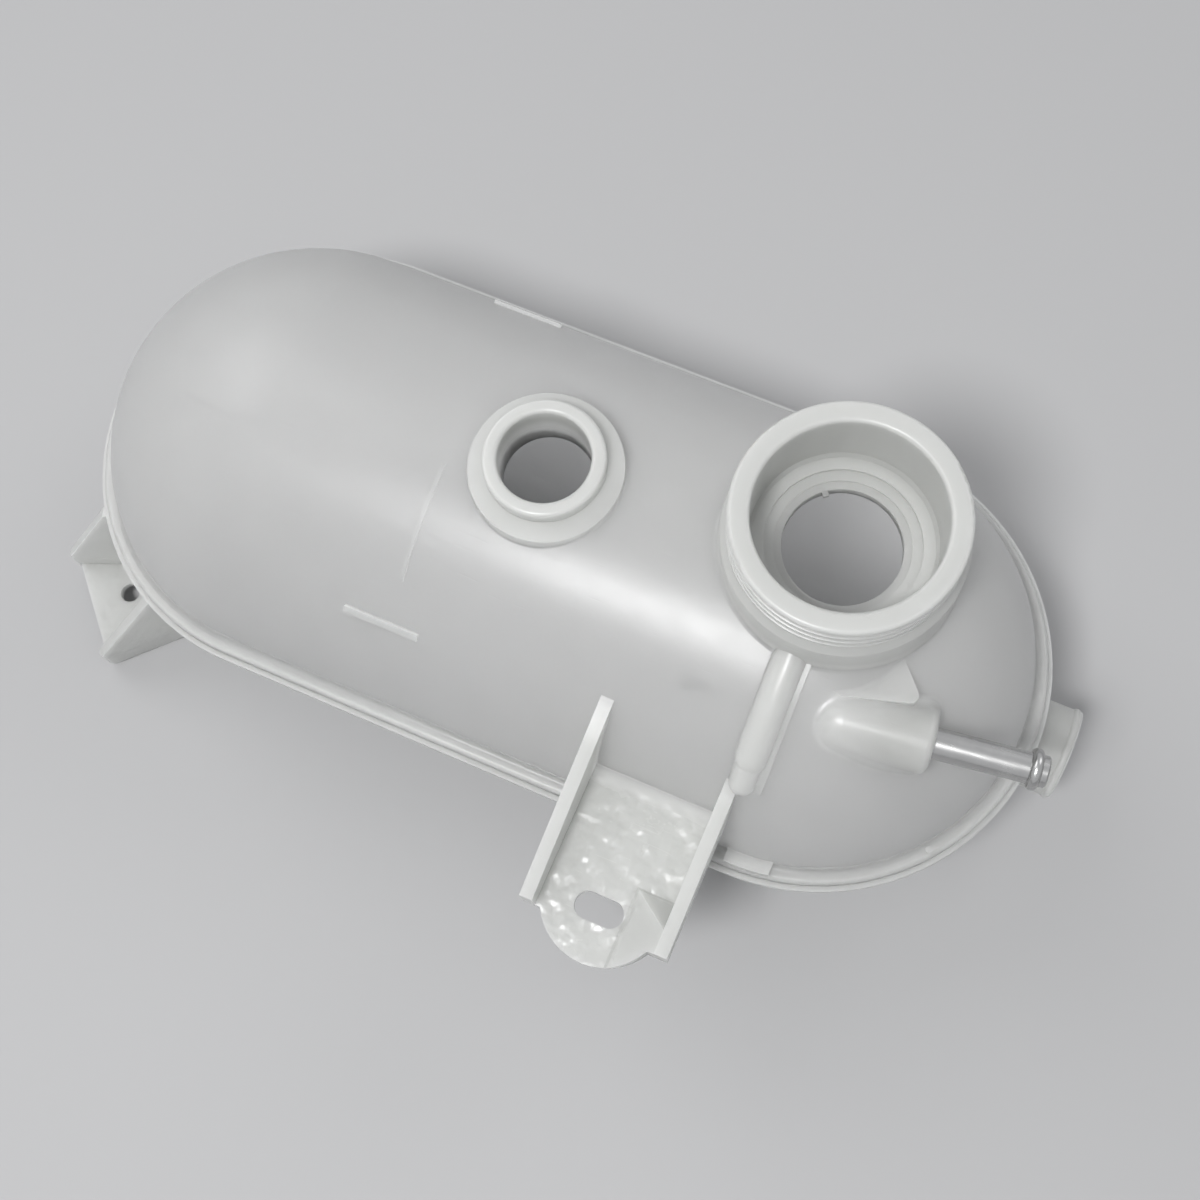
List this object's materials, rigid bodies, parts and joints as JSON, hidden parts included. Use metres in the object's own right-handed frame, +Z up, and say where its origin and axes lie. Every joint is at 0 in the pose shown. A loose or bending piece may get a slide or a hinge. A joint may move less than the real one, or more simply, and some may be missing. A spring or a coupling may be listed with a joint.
{
  "type": "coolant expansion tank",
  "caption": "Capsule-shaped translucent plastic coolant expansion tank with filler neck, sensor neck, outlet, metal bleed pipe and two moulded brackets.",
  "frame": {"origin": "centre of the foot's fixing hole, on the underside of the foot plate, where the tank sits on the car", "axes": "+X along the tank towards the filler neck and outlet, +Y away from the front bracket, +Z up along the filler neck"},
  "size_m": [0.303, 0.168, 0.144],
  "materials": {
    "tank_plastic": "milky translucent polypropylene, soft sheen",
    "pipe_metal": "bright drawn tube"
  },
  "bodies": {
    "root": {"upper_shell": "tank_plastic", "lower_shell": "tank_plastic", "bleed_pipe": "pipe_metal"}
  },
  "joints": []
}
